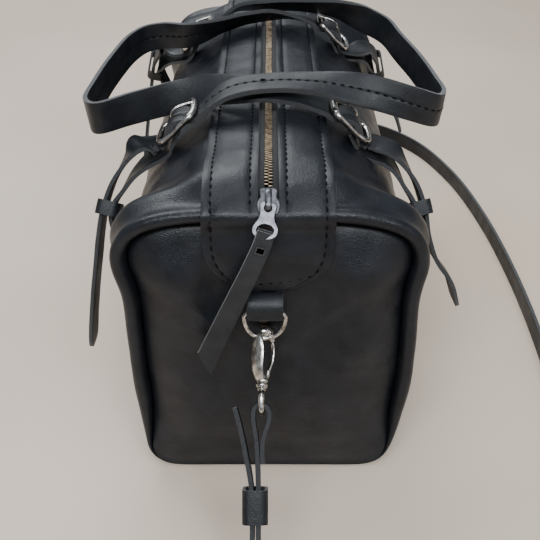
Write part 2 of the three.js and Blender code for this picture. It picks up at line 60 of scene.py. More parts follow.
def set_camera():
    camera = bpy.data.cameras.new("camera")
    camera.lens = 50
    camera.sensor_width = 36
    holder = bpy.data.objects.new("camera", camera)
    holder.location = CAMERA_AT
    holder.rotation_euler = (math.radians(90 - CAMERA_PITCH), 0, 0)
    bpy.context.scene.collection.objects.link(holder)
    bpy.context.scene.camera = holder


def area_light(name, place, aim, size, power, colour):
    light = bpy.data.lights.new(name, "AREA")
    light.shape = "RECTANGLE"
    light.size, light.size_y = size
    light.energy = power
    light.color = colour
    holder = bpy.data.objects.new(name, light)
    holder.location = place
    holder.rotation_euler = (Vector(aim) - Vector(place)).to_track_quat("-Z", "Y").to_euler()
    bpy.context.scene.collection.objects.link(holder)


def set_light():
    world = bpy.data.worlds.new("studio")
    world.use_nodes = True
    background = world.node_tree.nodes["Background"]
    background.inputs["Color"].default_value = (0.84, 0.92, 1.0, 1)
    background.inputs["Strength"].default_value = 0.34
    bpy.context.scene.world = world
    area_light("window", (-0.7, 1.5, 2.0), (0, -0.05, 0.15), (2.0, 1.3), 56, (0.93, 0.97, 1.0))
    area_light("ceiling", (0.25, -0.55, 2.2), (0, -0.1, 0.15), (1.3, 1.0), 15, (0.93, 0.97, 1.0))
    area_light("lamp", (0.0, -1.5, 1.75), (0, -0.2, 0.19), (1.9, 0.32), 46, (0.92, 0.96, 1.0))
    area_light("room", (1.7, -1.5, 1.0), (0, -0.1, 0.1), (1.0, 1.0), 4, (1.0, 0.94, 0.88))


# ---- materials --------------------------------------------------------------------------------
class Shader:
    """A new material and short ways to add nodes to it."""

    def __init__(self, name):
        self.material = bpy.data.materials.new(name)
        self.material.use_nodes = True
        self.tree = self.material.node_tree
        self.surface = self.tree.nodes["Principled BSDF"]
        self.place = self.node("ShaderNodeTexCoord").outputs["Object"]

    def node(self, kind, **inputs):
        made = self.tree.nodes.new(kind)
        for name, value in inputs.items():
            self.feed(made, name.replace("_", " "), value)
        return made

    def feed(self, node, socket, value):
        if isinstance(value, bpy.types.NodeSocket):
            self.tree.links.new(value, node.inputs[socket])
        else:
            node.inputs[socket].default_value = value

    def stretched(self, scale):
        return self.node("ShaderNodeMapping", Vector=self.place, Scale=scale).outputs["Vector"]

    def noise(self, scale, detail=2.0, place=None, distortion=0.0):
        made = self.node("ShaderNodeTexNoise", Vector=place or self.place, Scale=scale,
                         Detail=detail, Distortion=distortion)
        return made.outputs["Fac"]

    def cells(self, scale, place=None):
        made = self.node("ShaderNodeTexVoronoi", Vector=place or self.place, Scale=scale)
        made.feature = "SMOOTH_F1"
        return made.outputs["Distance"]

    def spread(self, value, start, end, low, high):
        made = self.node("ShaderNodeMapRange", Value=value, From_Min=start, From_Max=end,
                         To_Min=low, To_Max=high)
        return made.outputs["Result"]

    def tint(self, value, low, high, start=0.35, end=0.65):
        made = self.node("ShaderNodeMix", Factor=self.spread(value, start, end, 0.0, 1.0))
        made.data_type = "RGBA"
        made.inputs[6].default_value = (*low, 1)
        made.inputs[7].default_value = (*high, 1)
        return made.outputs[2]

    def relief(self, *layers):
        """Layers of (height, depth in mm), from the broadest to the finest."""
        normal = None
        for height, depth in layers:
            bump = self.node("ShaderNodeBump", Height=height, Distance=depth * MM, Strength=1.0)
            if normal is not None:
                self.feed(bump, "Normal", normal)
            normal = bump.outputs["Normal"]
        self.feed(self.surface, "Normal", normal)

    def set(self, **inputs):
        for name, value in inputs.items():
            self.feed(self.surface, name.replace("_", " "), value)
        return self.material


def leather(name, low, high, rough, waves=0.5, grain=1.0):
    s = Shader(name)
    mottle = s.noise(55, 4)
    creases = s.noise(260, 5, s.stretched((1, 0.55, 0.8)), 0.6)
    pores = s.cells(1250)
    s.relief((s.noise(26, 2), 2.6 * waves), (creases, 0.22 * grain), (pores, 0.2 * grain),
             (s.noise(3600, 2), 0.03 * grain))
    wear = s.spread(mottle, 0.3, 0.7, rough - 0.07, rough + 0.1)
    return s.set(Base_Color=s.tint(s.noise(70, 6), low, high), Roughness=wear,
                 Specular_IOR_Level=0.3)


def raw_edge(name, low, high, fuzz=0.25):
    s = Shader(name)
    fibres = s.noise(1500, 6, distortion=1.2)
    s.relief((s.noise(420, 4), 0.5), (fibres, 0.35))
    return s.set(Base_Color=s.tint(fibres, low, high), Roughness=0.93, Specular_IOR_Level=fuzz,
                 Sheen_Weight=fuzz, Sheen_Roughness=0.6)


def metal(name, low, high, rough, stretch=(1, 1, 1), scratches=0.05):
    s = Shader(name)
    patina = s.noise(240, 5)
    lines = s.noise(2200, 3, s.stretched(stretch))
    s.relief((s.noise(320, 2), 0.03), (lines, scratches))
    return s.set(Base_Color=s.tint(patina, low, high, 0.3, 0.62), Metallic=1.0,
                 Roughness=s.spread(lines, 0.3, 0.7, rough - 0.08, rough + 0.12))


def woven(name, low, high, pitch, sheen=0.15):
    s = Shader(name)
    waves = []
    for direction in ("X", "Y"):
        wave = s.node("ShaderNodeTexWave", Vector=s.place, Scale=math.pi / (10 * pitch * MM))
        wave.bands_direction = direction
        waves.append(wave.outputs["Fac"])
    cross = s.node("ShaderNodeMath", Value=waves[0])
    cross.operation = "MULTIPLY"
    s.feed(cross, 1, waves[1])
    weave = cross.outputs["Value"]
    s.relief((weave, 0.25), (s.noise(2500, 3), 0.05))
    return s.set(Base_Color=s.tint(weave, low, high, 0.2, 0.8), Roughness=0.92,
                 Sheen_Weight=sheen, Sheen_Roughness=0.5, Specular_IOR_Level=0.2)


def wood_floor():
    s = Shader("floor")
    s.relief((s.noise(40, 3), 0.05))
    return s.set(Base_Color=s.tint(s.noise(1.6, 3), (0.56, 0.45, 0.35), (0.64, 0.53, 0.43)),
                 Roughness=0.62)


BODY = leather("body_leather", (0.0055, 0.0064, 0.0088), (0.0105, 0.0122, 0.0162), 0.36)
STRAP = leather("strap_leather", (0.006, 0.0068, 0.0088), (0.012, 0.0135, 0.0165), 0.44, 0.1, 0.8)
TAB = leather("tab_leather", (0.015, 0.016, 0.018), (0.023, 0.0245, 0.027), 0.62, 0.1, 0.6)
EDGE = raw_edge("raw_edge", (0.010, 0.010, 0.011), (0.040, 0.042, 0.046))
# Near-black matte material: painted shade that stands in for the dark inside of punched holes and the
# pull's slot.
SHADE = raw_edge("hole_shade", (0.0008, 0.0008, 0.0009), (0.002, 0.002, 0.0022), 0.0)
THREAD = woven("thread", (0.002, 0.002, 0.0024), (0.006, 0.006, 0.007), 0.35, 0.0)
TAPE = woven("tape", (0.006, 0.006, 0.007), (0.018, 0.018, 0.020), 0.6)
BRASS = metal("brass", (0.14, 0.10, 0.06), (0.42, 0.33, 0.23), 0.38)
GUNMETAL = metal("gunmetal", (0.055, 0.055, 0.062), (0.145, 0.145, 0.158), 0.34)
NICKEL = metal("nickel", (0.20, 0.18, 0.155), (0.60, 0.58, 0.56), 0.2, scratches=0.03)
BRUSHED = metal("nickel_brushed", (0.26, 0.24, 0.21), (0.66, 0.64, 0.61), 0.28, (1, 0.1, 0.1), 0.1)


# ---- mesh helpers -------------------------------------------------------------------------------
def make(name, points, faces, *materials, sharp=None, which=None):
    mesh = bpy.data.meshes.new(name)
    mesh.from_pydata([tuple(p) for p in np.asarray(points, float) * MM], [], faces)
    for material in materials:
        mesh.materials.append(material)
    if which is not None:
        mesh.polygons.foreach_set("material_index", which)
    mesh.shade_smooth()
    if sharp is not None:
        mesh.set_sharp_from_angle(angle=math.radians(sharp))
    mesh.update()
    made = bpy.data.objects.new(name, mesh)
    bpy.context.scene.collection.objects.link(made)
    return made


def smooth(rows, step, closed=False):
    """Points about step apart on a smooth curve through rows. Columns past the third follow."""
    p = np.array(rows, float)
    ends = (p[-1], [p[0], p[1]]) if closed else (2 * p[0] - p[1], [2 * p[-1] - p[-2]])
    p = np.vstack([ends[0], p, *ends[1]])
    gap = np.sqrt(np.maximum(1e-6, np.linalg.norm(np.diff(p[:, :3], axis=0), axis=1)))
    t = np.concatenate([[0], np.cumsum(gap)])
    dense = []
    for i in range(1, len(p) - 2):
        u = np.linspace(t[i], t[i + 1], 20, endpoint=False)[:, None]

        def mix(a, b, ta, tb):
            return ((tb - u) * a + (u - ta) * b) / (tb - ta)
        a1 = mix(p[i - 1], p[i], t[i - 1], t[i])
        a2 = mix(p[i], p[i + 1], t[i], t[i + 1])
        a3 = mix(p[i + 1], p[i + 2], t[i + 1], t[i + 2])
        b1, b2 = mix(a1, a2, t[i - 1], t[i + 1]), mix(a2, a3, t[i], t[i + 2])
        dense.append(mix(b1, b2, t[i], t[i + 1]))
    dense = np.vstack(dense + [p[-2][None]])
    return even(dense, step)[:-1] if closed else even(dense, step)


def lengths(p):
    return np.concatenate([[0], np.cumsum(np.linalg.norm(np.diff(p[:, :3], axis=0), axis=1))])


def even(p, step=None, count=None):
    s = lengths(p)
    count = count or max(2, round(s[-1] / step) + 1)
    at = np.linspace(0, s[-1], count)
    return np.column_stack([np.interp(at, s, p[:, k]) for k in range(p.shape[1])])


def unit(v):
    return v / np.maximum(1e-9, np.linalg.norm(v, axis=-1, keepdims=True))


def tangents(p, closed=False):
    if closed:
        return unit(np.roll(p, -1, 0) - np.roll(p, 1, 0))
    return unit(np.gradient(p, axis=0))


def grid_faces(rows, columns, wrap_rows=False, wrap_columns=True, first=0):
    faces = []
    for i in range(rows if wrap_rows else rows - 1):
        here, there = first + i * columns, first + (i + 1) % rows * columns
        for j in range(columns if wrap_columns else columns - 1):
            k = (j + 1) % columns
            faces.append((here + j, here + k, there + k, there + j))
    return faces


def rounded_rectangle(half_x, half_y, radius, per_corner=4):
    rows = []
    for sx, sy, start in ((1, 1, 0), (-1, 1, 90), (-1, -1, 180), (1, -1, 270)):
        for i in range(per_corner + 1):
            a = math.radians(start + 90 * i / per_corner)
            rows.append((sx * (half_x - radius) + radius * math.cos(a),
                         sy * (half_y - radius) + radius * math.sin(a)))
    return np.array(rows)


def tube(name, material, rows, radius, body, step=1.2, closed=False, hint=(0, 0, 1), sides=16):
    """A wire through rows. Two more columns, where rows has them, are its half width along hint
    and its half thickness."""
    p = smooth(rows, step, closed)
    along = tangents(p[:, :3], closed)
    across = unit(np.array(hint, float) - along * (along @ np.array(hint, float))[:, None])
    other = np.cross(along, across)
    size = p[:, 3:5] if p.shape[1] > 4 else np.full((len(p), 2), radius)
    turn = np.linspace(0, 2 * math.pi, sides, endpoint=False)
    scale = np.ones(len(p))
    shift = np.zeros(len(p))
    if not closed:  # rounded ends
        p, along, across, other, size, scale, shift = round_ends(p, along, across, other, size)
    loops = [p[i, :3] + along[i] * shift[i] + scale[i] * (
        np.outer(np.cos(turn) * size[i, 0], across[i]) + np.outer(np.sin(turn) * size[i, 1],
                                                                   other[i]))
        for i in range(len(p))]
    faces = grid_faces(len(p), sides, closed)
    if not closed:
        last = (len(p) - 1) * sides
        faces += [tuple(range(sides))[::-1], tuple(range(last, last + sides))]
    made = make(name, np.vstack(loops), faces, material)
    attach(made, body)
    return made


def round_ends(p, along, across, other, size):
    angles = np.radians([75, 55, 32, 12])
    first = [0] * len(angles)
    last = [len(p) - 1] * len(angles)
    index = first + list(range(len(p))) + last
    scale = np.concatenate([np.cos(angles), np.ones(len(p)), np.cos(angles[::-1])])
    rise = np.sin(angles) * size[0].min()
    fall = np.sin(angles[::-1]) * size[-1].min()
    shift = np.concatenate([-rise, np.zeros(len(p)), fall])
    return p[index], along[index], across[index], other[index], size[index], scale, shift


def strap_section(wide, thick, grooves, crown, bevel=0.55):
    """Outline of a strap as (across, up) rows and, for each span, whether it is a cut edge."""
    half, h = wide / 2, thick / 2
    places = list(np.linspace(-half + bevel, half - bevel, 11))
    for g in grooves:
        places = [w for w in places if abs(w - g) > 1.9]
        places += [g - 1.7, g - 0.8, g, g + 0.8, g + 1.7]
    places = np.array(sorted(places))
    dip = sum((0.45 * np.exp(-((places - g) / 0.75) ** 2) for g in grooves), np.zeros(len(places)))
    top = np.column_stack([places, h + crown * (1 - (places / half) ** 2) - dip])
    edge = np.array([(half - 0.15 * bevel, h - 0.25 * bevel), (half, h - bevel),
                     (half + 0.05, 0), (half, bevel - h), (half - 0.15 * bevel, 0.25 * bevel - h)])
    under = np.column_stack([np.linspace(half - bevel, bevel - half, 5), np.full(5, -h)])
    other = edge[::-1] * (-1, 1)
    outline = np.vstack([top, edge, under, other])
    cut = np.zeros(len(outline), bool)
    cut[len(top):len(top) + len(edge) - 1] = True
    cut[len(top) + len(edge) + len(under):-1] = True
    return outline, cut


def ribbon(name, rows, wide, thick, body=None, material=None, step=2.5, grooves=(), crown=0.25,
           shape=None, wobble=0.25):
    """A leather strap. Rows are x, y, z and the direction of its width. shape(s, long) is the
    share of its full width at s along it."""
    p = smooth(rows, step)
    centre, along = p[:, :3], tangents(p[:, :3])
    across = unit(p[:, 3:6] - along * np.sum(p[:, 3:6] * along, 1, keepdims=True))
    normal = np.cross(along, across)
    outline, cut = strap_section(wide, thick, grooves, crown)
    s = lengths(centre)
    share = np.ones(len(s)) if shape is None else np.array([shape(v, s[-1]) for v in s])
    soft = np.array([noise.noise(Vector(c) / 26 + Vector((3.1, wide, thick))) for c in centre])
    centre = centre + normal * (soft * wobble)[:, None]
    points = (centre[:, None] + outline[None, :, :1] * share[:, None, None] * across[:, None]
              + outline[None, :, 1:] * normal[:, None])
    n = len(outline)
    faces = grid_faces(len(s), n)
    last = (len(s) - 1) * n
    faces += [tuple(range(n))[::-1], tuple(range(last, last + n))]
    which = np.concatenate([np.tile(cut, len(s) - 1), [True, True]]).astype(np.int32)
    made = make(name, points.reshape(-1, 3), faces, material or STRAP, EDGE, sharp=38, which=which)
    if body:
        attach(made, body)
    return made, centre, across, normal


STITCH = {"pitch": 6.6, "long": 4.6, "radius": 0.8}


def stitches(name, p, normal, body):
    """A row of sewn stitches along p: short threads that dip into the leather at both ends."""
    pitch, long, radius = STITCH["pitch"], STITCH["long"], STITCH["radius"]
    s = lengths(p)
    points, faces = [], []
    turn = np.linspace(0, 2 * math.pi, 6, endpoint=False)
    for start in np.arange(pitch * 0.4, s[-1] - long, pitch):
        t = np.linspace(0, 1, 6)
        at = start + long * t
        c = np.column_stack([np.interp(at, s, p[:, k]) for k in range(3)])
        n = unit(np.column_stack([np.interp(at, s, normal[:, k]) for k in range(3)]))
        bow = np.sin(math.pi * t)
        c = c + n * (radius * (1.1 * bow - 0.65))[:, None]
        side = unit(np.cross(tangents(c), n))
        size = radius * (0.55 + 0.45 * bow)
        first = len(points) * 6
        for i in range(6):
            ring = c[i] + size[i] * (np.outer(np.cos(turn), side[i]) + np.outer(np.sin(turn), n[i]))
            points.append(ring)
        faces += grid_faces(6, 6, first=first)
    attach(make(name, np.vstack(points), faces, THREAD), body)


def settle(made):
    """Applies the modifiers of a piece."""
    graph = bpy.context.evaluated_depsgraph_get()
    mesh = bpy.data.meshes.new_from_object(made.evaluated_get(graph))
    made.modifiers.clear()
    made.data = mesh
    return made


def rumple(p, scale, seed):
    """Soft noise from -1 to 1 at a point in millimetres."""
    return noise.noise(Vector(p) / scale + Vector((seed, 2.7 * seed, -seed)))


def stand_in(made, body, *nodes):
    """A piece that moves with a body and is shown instead of these nodes."""
    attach(made, body)
    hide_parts(*nodes)


# ---- the body ---------------------------------------------------------------------------------
BODY_Y = 208.5
HALF_WIDTH = 100
TOP = {"flat": 262.5, "end": 246, "flat_to": 160, "edge": 221}
STRIP = {"half": 43.5, "thick": 2.4, "crown": 6, "slot": 6.8, "slot_end": 220.5, "tip": 188}
CENTRE_Z = 122
# The rolled rim at each end, as (inset from the outline, distance from the middle) rows: an outer
# ridge, a shallow valley, the roll beside the seam and the drop into the seam.
RIM = [(0, 167), (-0.8, 174), (-2.3, 181), (-3.0, 186), (-2.2, 191), (0.4, 196.4), (3.0, 201.5),
       (4.3, 206.2), (3.7, 210.4), (2.4, 213.8), (1.9, 217), (3.4, 220), (6.4, 221.4),
       (9.8, 220.6), (11.9, 218), (12.9, 214), (13.3, 210), (13.5, 205)]


def top_height(y):
    past = np.maximum(0, np.abs(y) - TOP["flat_to"]) / (TOP["edge"] - TOP["flat_to"])
    return TOP["flat"] - (TOP["flat"] - TOP["end"]) * past ** 2.5


def softness(y):
    t = np.clip((BODY_Y - np.abs(y)) / 55, 0, 1)
    return t * t * (3 - 2 * t)


def step_up(value, start, end):
    t = np.clip((value - start) / (end - start), 0, 1)
    return t * t * (3 - 2 * t)


def flare(y, z, side):
    """How much wider the rims stand than the side behind them."""
    top = 7.5 * np.exp(-((z - 208) / 26) ** 2) * step_up(z, 120, 200)
    low = (3.6 if side > 0 else 2.0) * step_up(z, 20, 90)
    return (top + low) * step_up(abs(y), 158, 190) * (1 - step_up(z, 228, 246))


def rim_share(z):
    """The rolled rim dies away towards the floor, where the end leather runs down over it."""
    return 0.22 + 0.78 * step_up(z, -6, 84)


def half_outline(y, side):
    """The outside of one half in section, from the zip down to the middle of the base."""
    wide_y, y = y, float(np.clip(y, -BODY_Y, BODY_Y))
    middle = 1 - (y / BODY_Y) ** 2
    soft = softness(y)
    w = HALF_WIDTH + 3 * middle
    slack = 4.5 if side > 0 else 0.5
    zip_z = top_height(y) - 4

    def z(at_end, in_middle):
        return at_end + (in_middle - at_end) * soft
    rows = [(14, zip_z - 1.5), (28, z(zip_z - 1.5, 256)), (43, z(zip_z - 1.6, 252.5)),
            (62, z(246, 239)), (w - 21, z(242, 226)), (w - 10, z(236, 214)),
            (w - 3, z(223, 201)), (w, z(207, 186)), (w + 2 + 0.6 * slack, 160),
            (w + 2.5 + slack, 100), (w + 0.5 * slack, 34), (98.5, 19), (93, 9), (84, 2.5),
            (74, 0.4), (40, 0.25), (0, 0.25)]
    rows = [(side * x, 0, height) for x, height in rows]
    line = even(smooth(rows, 2.5), count=88)[:, [0, 2]]
    line[:, 0] += side * flare(wide_y, line[:, 1], side)
    return line


def outline(y):
    """Both halves as one open line, from the zip's right edge round the base to its left edge."""
    right, left = half_outline(y, 1), half_outline(y, -1)
    return np.vstack([right, left[::-1][1:]])


def inset(line, by):
    along = unit(np.gradient(line, axis=0))
    inwards = np.column_stack([along[:, 1], -along[:, 0]])
    return line + inwards * np.reshape(by, (-1, 1))


def body_shell():
    stations = [(0.0, y) for y in np.linspace(-161, 161, 48)]
    rows = [(o, -y) for o, y in RIM][::-1] + stations + RIM
    points = []
    for o, y in rows:
        line = outline(y)
        line = inset(line, o * rim_share(line[:, 1]))
        near_rim = min(1.0, max(0.0, (BODY_Y - abs(y)) / 60))
        out = -(inset(line, 1) - line)
        for (x, z), (nx, nz) in zip(line, out):
            free = min(1.0, max(0.0, z / 35))
            push = free * ((0.35 + 1.5 * near_rim) * rumple((x, y, z), 62, 1.7)
                           + (0.35 + 0.5 * near_rim) * rumple((x, y, z), 21, 5.2))
            points.append((x + nx * push, y + 0.3 * rumple((x, y, z), 18, 9) * free,
                           max(0.25, z + nz * push)))
    count = len(outline(0))
    made = make("body_shell", points, grid_faces(len(rows), count, wrap_columns=False), BODY)
    made.modifiers.new("smooth", "SUBSURF").levels = 1
    settle(made)
    stand_in(made, "bag", "side_panel_left", "side_panel_right", "base_panel", "base_board",
                "welt_front", "welt_rear")
    return made


PANEL_SHARES = [1.0, 0.998, 0.992, 0.982, 0.968, 0.948, 0.922, 0.89, 0.85, 0.8, 0.74, 0.67, 0.59,
                0.5, 0.41, 0.32, 0.23, 0.14, 0.06]


# Swellings and hollows of an end as (x, z, half width, half height, how far it stands out).
DENTS = [(-64, 196, 25, 17, 6.0), (68, 199, 24, 16, 6.8), (66, 132, 17, 20, 4.6),
         (36, 150, 20, 26, -2.6), (-34, 128, 24, 34, -2.2), (-66, 96, 24, 34, 2.2),
         (6, 84, 46, 26, 2.4), (40, 60, 20, 22, -1.6), (-20, 40, 30, 14, -1.4)]


def panel_out(x, z, share, end):
    """How far an end panel stands from the middle of the bag at a place on it."""
    d = (1 - share) * 96
    over = max(0.0, (z - CENTRE_Z) / 108)
    reach = 42 - 7 * min(1.0, over ** 2)  # it swells a little faster below the top seam
    swell = min(1.0, max(0.0, d / reach))
    edge = 1 - math.exp(-d / 1.5)
    out = 210 + 3.5 * edge + 14.5 * (1 - (1 - swell) ** 1.7)
    low = 1 - float(step_up(z, 6, 64))
    out += low * ((1 - edge) * 12 + edge * max(0.0, 7 - 0.3 * d))
    p = (x, end * 30, z)
    for cx, cz, wide, high, height in DENTS:
        out += height * swell * math.exp(-((x - cx) / wide) ** 2 - ((z - cz) / high) ** 2)
    out += (0.3 + swell) * (1.2 * rumple(p, 40, 3.3 + end) + 0.5 * rumple(p, 17, 8.1))
    if z > 160 and abs(x) < STRIP["half"] + 20:
        beside = float(step_up(abs(x), STRIP["half"] - 3, STRIP["half"] + 20))
        out = min(out, 224.2 + 20 * beside + 0.4 * max(0.0, 166 - z))
    if abs(x + 2) < 22 and z > 130:
        out = min(out, 226 + 0.02 * x * x)
    return out


def end_panel(name, end):
    line = outline(BODY_Y)
    line = inset(line, 13.4 * rim_share(line[:, 1]))
    gap = np.column_stack([np.linspace(line[-1, 0], line[0, 0], 14)[1:-1],
                           np.full(12, line[0, 1])])
    loop = np.vstack([line, gap])
    centre = np.array([0, CENTRE_Z])
    points = []
    for share in PANEL_SHARES:
        for x, z in centre + share * (loop - centre):
            points.append((x, end * panel_out(x, z, share, end), z))
    faces = grid_faces(len(PANEL_SHARES), len(loop))
    middle = len(points)
    points.append((0, end * panel_out(0, CENTRE_Z, 0, end), CENTRE_Z))
    last = middle - len(loop)
    faces += [(last + j, last + (j + 1) % len(loop), middle) for j in range(len(loop))]
    if end > 0:
        faces = [f[::-1] for f in faces]
    made = make(f"end_leather_{name}", points, faces, BODY)
    made.modifiers.new("smooth", "SUBSURF").levels = 1
    settle(made)
    stand_in(made, "bag", f"end_panel_{name}")


def strip_route():
    drop = [(226.6, STRIP["tip"]), (226.9, 197), (226.2, 208), (224.8, 218), (222.0, 227),
            (220.9, 233), (222.6, 239), (221.8, 243.6)]
    rows = [(-y, z) for y, z in drop]
    rows += [(y, float(top_height(y)) - 1.2) for y in np.arange(-219.5, 219.6, 219.5 / 14)]
    rows += [(y, z) for y, z in reversed(drop)]
    return smooth([(0, y, z) for y, z in rows], 2.2)


def top_strip():
    route = strip_route()
    along = tangents(route)
    out = np.column_stack([np.zeros(len(route)), -along[:, 2], along[:, 1]])
    s = lengths(route)
    marks = [-1, -0.955, -0.9, -0.865, -0.835, -0.7, -0.52, -0.4, -0.3, -0.276, -0.25, -0.2,
             -STRIP["slot"] / STRIP["half"]]
    across = np.array(marks + [0] + [-m for m in reversed(marks)])
    points = []
    for (_, y, z), n, t in zip(route, out, s):
        from_tip = min(t, s[-1] - t)
        turn = max(0.0, 1 - from_tip / 38)
        half = STRIP["half"] * math.sqrt(max(0.02, 1 - turn ** 2.4))
        half += 0.35 * rumple((0, y, z), 14, 4)
        level = softness(min(BODY_Y, abs(y))) if z > 240 else 0
        for a in across:
            slotted = abs(y) < STRIP["slot_end"] and z > 240
            near = min(abs(abs(a) - 0.865), abs(abs(a) - 0.276) if slotted else 1) * STRIP["half"]
            lift = 1.2 - 0.8 * math.exp(-(near / 0.9) ** 2) + 0.5 * rumple((a * half, y, z), 24, 6)
            points.append((a * half, y + n[1] * lift,
                           z + n[2] * lift - STRIP["crown"] * level * a * a))
    columns = len(across)
    faces = []
    for face in grid_faces(len(route), columns, wrap_columns=False):
        row, column = face[0] // columns, face[0] % columns
        in_slot = abs(across[column] + across[column + 1]) / 2 * STRIP["half"] < STRIP["slot"]
        if not (in_slot and abs(route[row, 1]) < STRIP["slot_end"] and route[row, 2] > 240):
            faces.append(face)
    made = make("top_strip_leather", points, faces, BODY, EDGE)
    thick = made.modifiers.new("thick", "SOLIDIFY")
    thick.thickness = STRIP["thick"] * MM
    thick.material_offset_rim = 1
    bevel = made.modifiers.new("edge", "BEVEL")
    bevel.width = 0.45 * MM
    bevel.segments = 2
    bevel.angle_limit = math.radians(50)
    settle(made)
    made.data.shade_smooth()
    made.data.set_sharp_from_angle(angle=math.radians(40))
    stand_in(made, "bag", "top_strip")
    strip_stitches(route, out, np.array(points).reshape(-1, columns, 3))


def strip_stitches(route, out, surface):
    """Stitches inside the strip's outer edges, round its ends, and beside the slot."""
    keep = slice(3, len(route) - 3)  # the ring of stitches turns short of both tips
    ring = np.vstack([surface[keep, 3], surface[keep, -4][::-1]])
    ring_normal = np.vstack([out[keep], out[keep][::-1]])
    path = smooth(np.hstack([ring, ring_normal])[::4], 2.0, closed=True)
    stitches("strip_stitches_outer", path[:, :3], path[:, 3:6], "bag")
    inner_rows = (np.abs(route[:, 1]) < STRIP["slot_end"] - 1) & (route[:, 2] > 240)
    for name, column in (("left", 9), ("right", -10)):
        stitches(f"strip_stitches_{name}", surface[inner_rows, column], out[inner_rows], "bag")


# ---- the zip ----------------------------------------------------------------------------------
ZIP_REACH = 203
TOOTH = {"pitch": 2.9, "long": 0.95625, "wide": 3.0, "high": 1.0}


def zip_tape(name, side):
    y = np.linspace(-ZIP_REACH - 14, ZIP_REACH + 14, 110)
    x = np.array([2.6, 3.4, 5.2, 6.8, 9, 12, 15])
    top = [top_height(v) - 3.7 for v in y]
    points = [(side * a, v, t - 0.35 * (a > 6)) for v, t in zip(y, top) for a in x]
    faces = grid_faces(len(y), len(x), wrap_columns=False)
    if side < 0:
        faces = [f[::-1] for f in faces]
    made = make(f"tape_{name}", points, faces, TAPE)
    made.modifiers.new("thick", "SOLIDIFY").thickness = 0.6 * MM
    settle(made)
    stand_in(made, "bag", f"zip_tape_{name}")


def zip_teeth(name, side):
    """Each tooth is a rounded block that reaches just past the middle line."""
    u = np.linspace(-math.pi / 2, math.pi / 2, 7)
    v = np.linspace(0, 2 * math.pi, 12, endpoint=False)

    def soft(a):
        return np.sign(a) * np.abs(a) ** 0.38
    ball = np.array([(soft(math.cos(a)) * soft(math.cos(b)), soft(math.cos(a)) * soft(math.sin(b)),
                      soft(math.sin(a))) for a in u for b in v])
    size = np.array([TOOTH["wide"], TOOTH["long"], TOOTH["high"]]) / 2
    faces_of_one = grid_faces(len(u), len(v))
    points, faces = [], []
    offset = 0 if side > 0 else TOOTH["pitch"] / 2
    for i, y in enumerate(np.arange(-ZIP_REACH + 2 + offset, ZIP_REACH - 2, TOOTH["pitch"])):
        slope = math.atan2(top_height(y + 1) - top_height(y - 1), 2)
        block = ball * size
        turned = np.column_stack([block[:, 0] + side * 1.35,
                                  block[:, 1] * math.cos(slope) - block[:, 2] * math.sin(slope),
                                  block[:, 1] * math.sin(slope) + block[:, 2] * math.cos(slope)])
        points.append(turned + (0, y, top_height(y) - 2.7))
        faces += [tuple(i * len(ball) + k for k in f) for f in faces_of_one]
    made = make(f"teeth_{name}", np.vstack(points), faces, BRASS)
    stand_in(made, "bag", f"zip_chain_{name}")


SLIDER = {"y": -212.5, "tilt": 33}
PULLER = {"at": (0, -6, 5.6), "tilt": 13, "lean": -8}


def slider_frame():
    z = top_height(SLIDER["y"]) - 2.4
    return Matrix.Translation((0, SLIDER["y"], z)) @ Matrix.Rotation(math.radians(SLIDER["tilt"]),
                                                                     4, "X")


def puller_frame():
    return (slider_frame() @ Matrix.Translation(PULLER["at"])
            @ Matrix.Rotation(math.radians(PULLER["lean"]), 4, "Z")
            @ Matrix.Rotation(math.radians(PULLER["tilt"]), 4, "X"))


def plate(name, material, outlines, thick, place, bevel=0.35):
    """A flat plate with rounded edges. The first outline is its edge and the others are holes."""
    curve = bpy.data.curves.new(name, "CURVE")
    curve.dimensions = "2D"
    curve.fill_mode = "BOTH"
    curve.extrude = (thick / 2 - bevel) * MM
    curve.bevel_depth = bevel * MM
    curve.bevel_resolution = 2
    for rows in outlines:
        line = curve.splines.new("POLY")
        line.points.add(len(rows) - 1)
        for point, (x, y) in zip(line.points, rows):
            point.co = (x * MM, y * MM, 0, 1)
        line.use_cyclic_u = True
    holder = bpy.data.objects.new(name, curve)
    bpy.context.scene.collection.objects.link(holder)
    graph = bpy.context.evaluated_depsgraph_get()
    mesh = bpy.data.meshes.new_from_object(holder.evaluated_get(graph))
    bpy.data.objects.remove(holder)
    moved = place.copy()
    moved.translation = moved.translation * MM
    mesh.transform(moved)
    mesh.materials.clear()
    mesh.materials.append(material)
    mesh.shade_smooth()
    mesh.set_sharp_from_angle(angle=math.radians(35))
    made = bpy.data.objects.new(name, mesh)
    bpy.context.scene.collection.objects.link(made)
    return made


def round_line(rows, step=0.5):
    return smooth([(x, y, 0) for x, y in rows], step, closed=True)[:, :2]


def merge(name, pieces):
    """Joins pieces into one mesh."""
    points, faces, which, materials = [], [], [], []
    for piece in pieces:
        mesh = piece.data
        for m in mesh.materials:
            if m not in materials:
                materials.append(m)
        first = len(points)
        points += [tuple(v.co / MM) for v in mesh.vertices]
        for f in mesh.polygons:
            faces.append(tuple(first + i for i in f.vertices))
            which.append(materials.index(mesh.materials[f.material_index]))
        bpy.data.objects.remove(piece)
    return make(name, points, faces, *materials, sharp=38, which=which)


def placed(place, rows):
    return [tuple(place @ Vector(row[:3])) + tuple(row[3:]) for row in rows]


